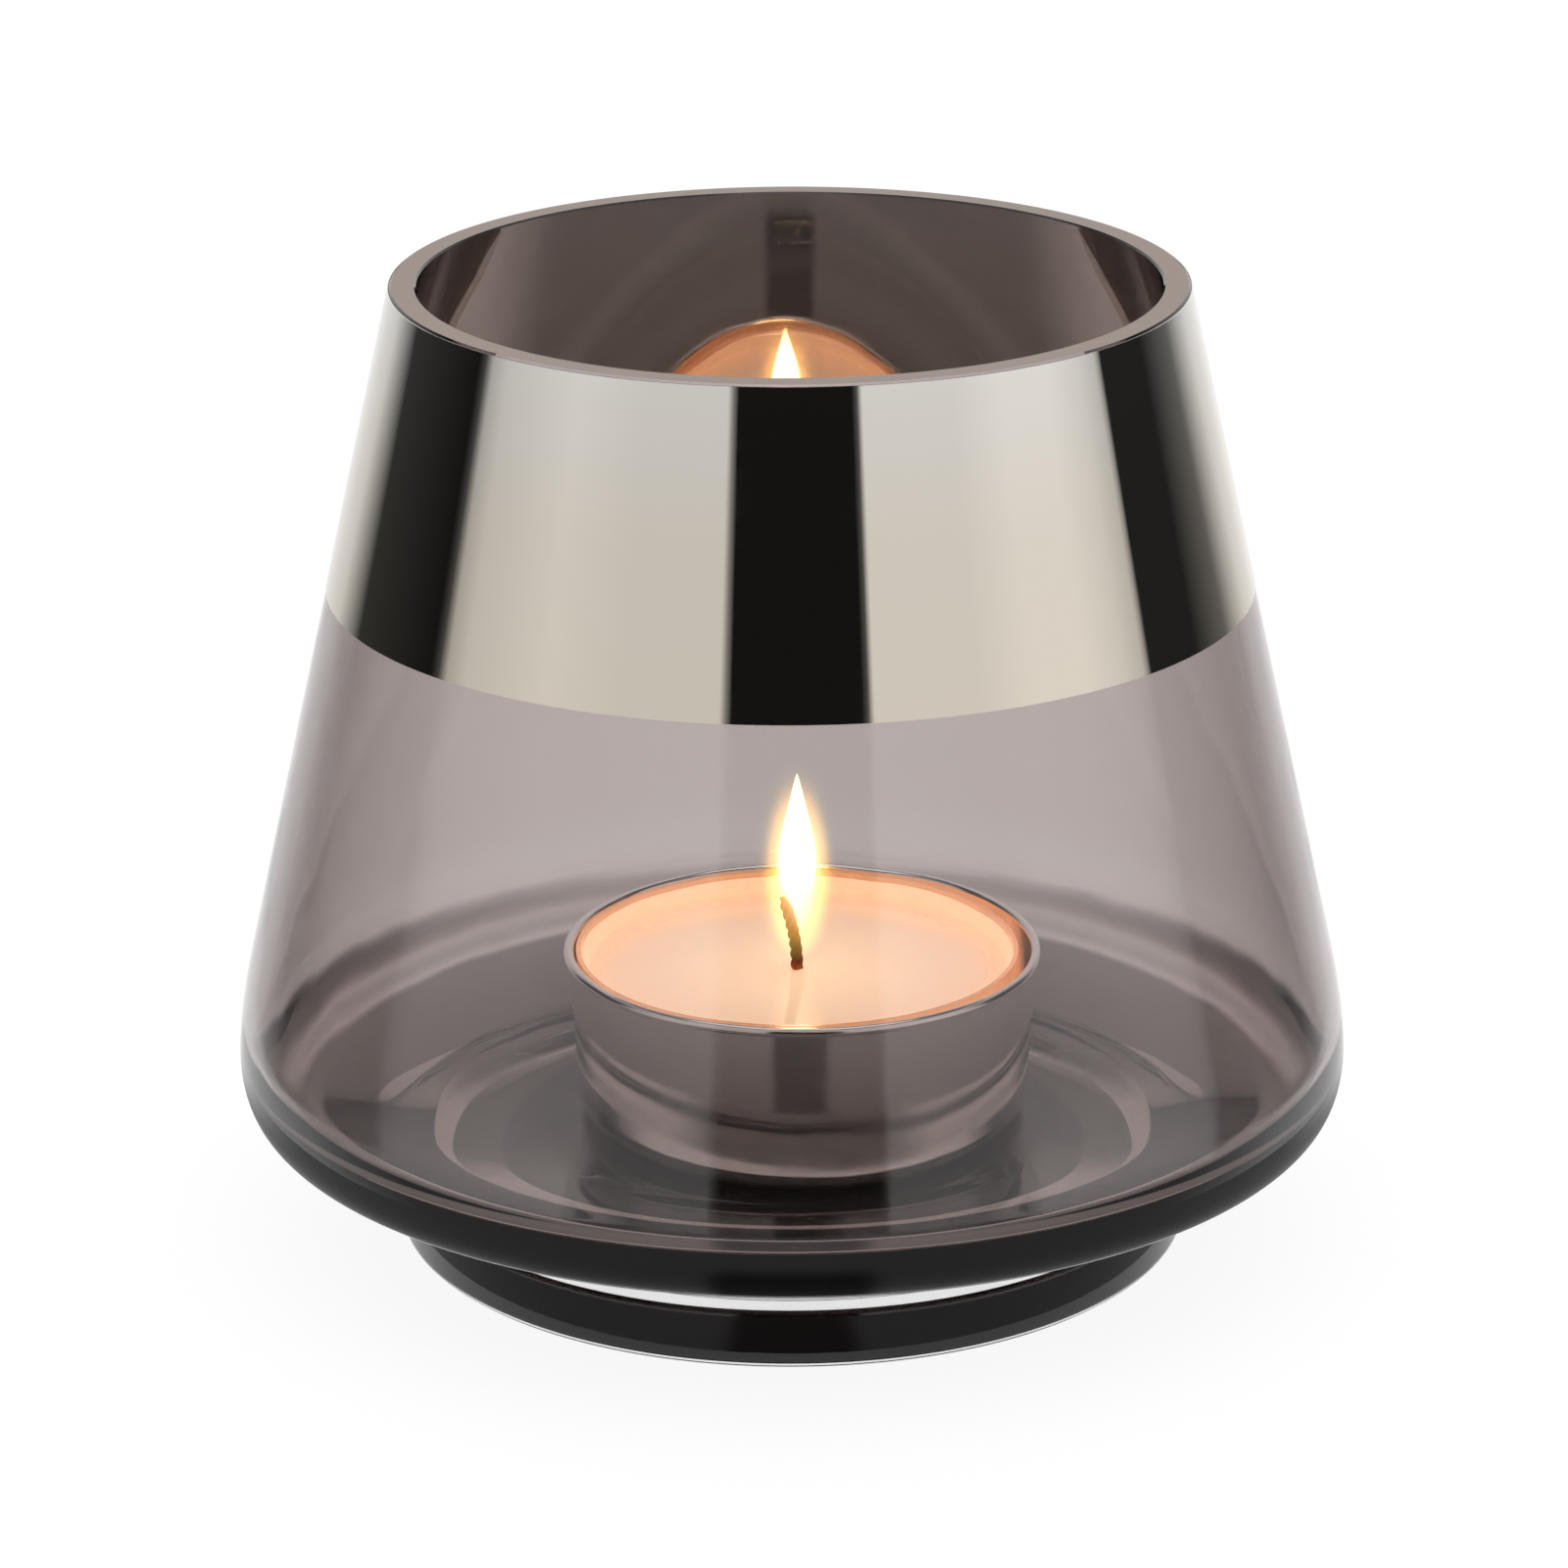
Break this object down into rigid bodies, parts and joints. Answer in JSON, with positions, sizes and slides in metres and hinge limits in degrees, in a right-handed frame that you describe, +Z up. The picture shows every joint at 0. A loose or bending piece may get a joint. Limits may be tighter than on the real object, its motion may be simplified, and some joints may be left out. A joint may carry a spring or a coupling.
{
  "type": "glass tealight holder",
  "caption": "Smoked-glass votive shade with a mirror rim band on a clear glass foot, holding a loose polished metal cup with a lit tealight.",
  "frame": {"origin": "centre of the foot's underside", "axes": "+Z up along the shade's axis, -Y towards the viewer, +X to the viewer's right"},
  "size_m": [0.0912, 0.0912, 0.08],
  "materials": {
    "smoked_glass": "fire-polished, ground rim",
    "platinum_layer": "mirror",
    "clear_glass": "polished",
    "polished_steel": "polished",
    "clear_plastic": "clear, moulded",
    "paraffin": "waxy, translucent",
    "burnt_cotton": "charred",
    "tinned_steel": "tinned"
  },
  "bodies": {
    "glass_holder": {"glass_bowl": "smoked_glass", "platinum_band": "platinum_layer", "glass_foot": "clear_glass"},
    "tealight_cup": {"metal_cup": "polished_steel"},
    "candle": {"candle_cup": "clear_plastic", "wax": "paraffin", "wick": "burnt_cotton", "wick_sustainer": "tinned_steel"}
  },
  "joints": [
    {"name": "tealight_lift", "type": "slide", "parent": "glass_holder", "child": "tealight_cup", "axis": [0, 0, 1], "range_m": [0, 0.08]},
    {"name": "candle_lift", "type": "slide", "parent": "tealight_cup", "child": "candle", "axis": [0, 0, 1], "range_m": [0, 0.08]}
  ]
}
